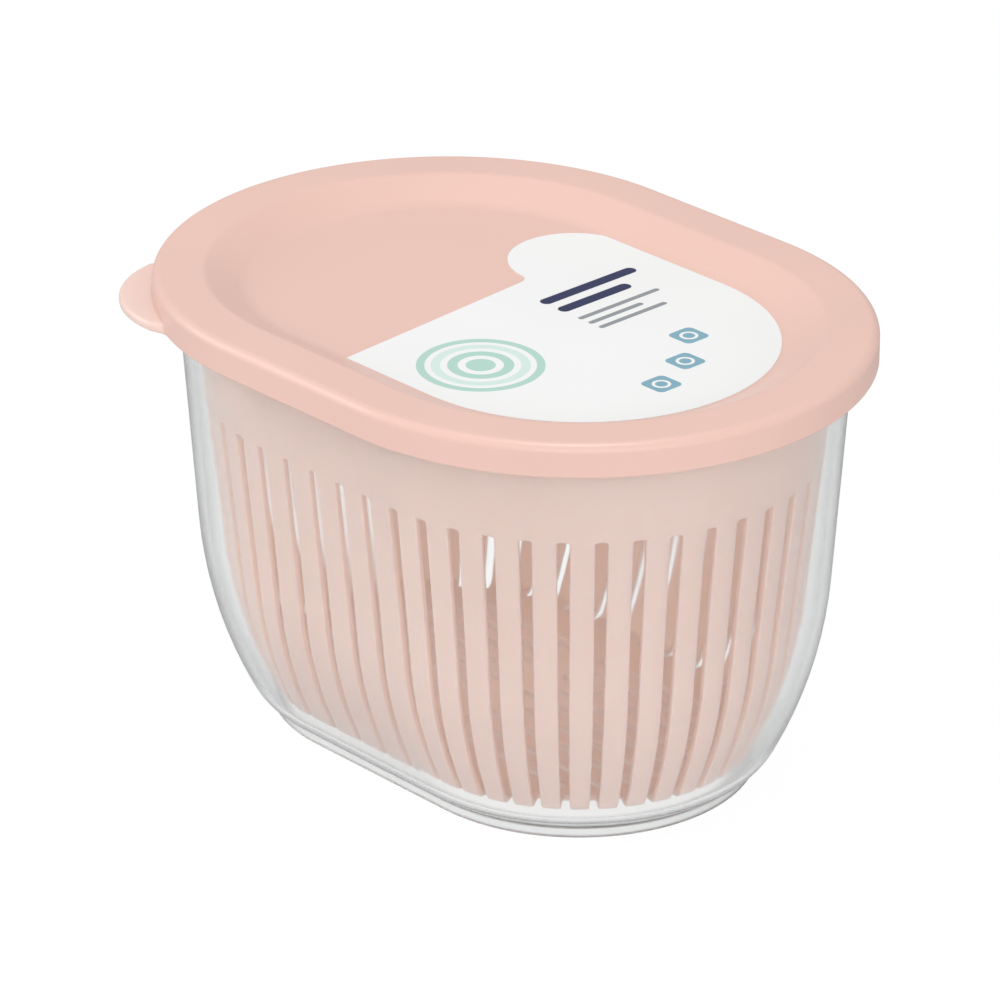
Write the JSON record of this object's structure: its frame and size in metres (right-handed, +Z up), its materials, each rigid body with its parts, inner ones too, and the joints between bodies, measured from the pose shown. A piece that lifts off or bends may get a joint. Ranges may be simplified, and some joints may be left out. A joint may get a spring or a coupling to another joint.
{
  "type": "onion keeper",
  "caption": "Oval clear food keeper with a slotted drain basket hung in its mouth and a soft snap lid with a thumb tab.",
  "frame": {"origin": "centre of the underside of the standing ring, where the keeper meets the table", "axes": "+Z up through the lid; +X along the long axis of the oval, away from the thumb tab; +Y across it, to the side of the label's lobe"},
  "size_m": [0.17, 0.128, 0.104],
  "materials": {
    "clear_plastic": "clear, polished",
    "basket_plastic": "satin moulded plastic, pale pink",
    "lid_plastic": "soft satin plastic, pale pink",
    "label_film": "printed film, white"
  },
  "bodies": {
    "vessel": {"container": "clear_plastic", "basket": "basket_plastic"},
    "lid": {"lid": "lid_plastic", "label": "label_film"}
  },
  "joints": [
    {"name": "lid_lift", "type": "slide", "parent": "vessel", "child": "lid", "axis": [0, 0, 1], "range_m": [0, 0.1]}
  ]
}
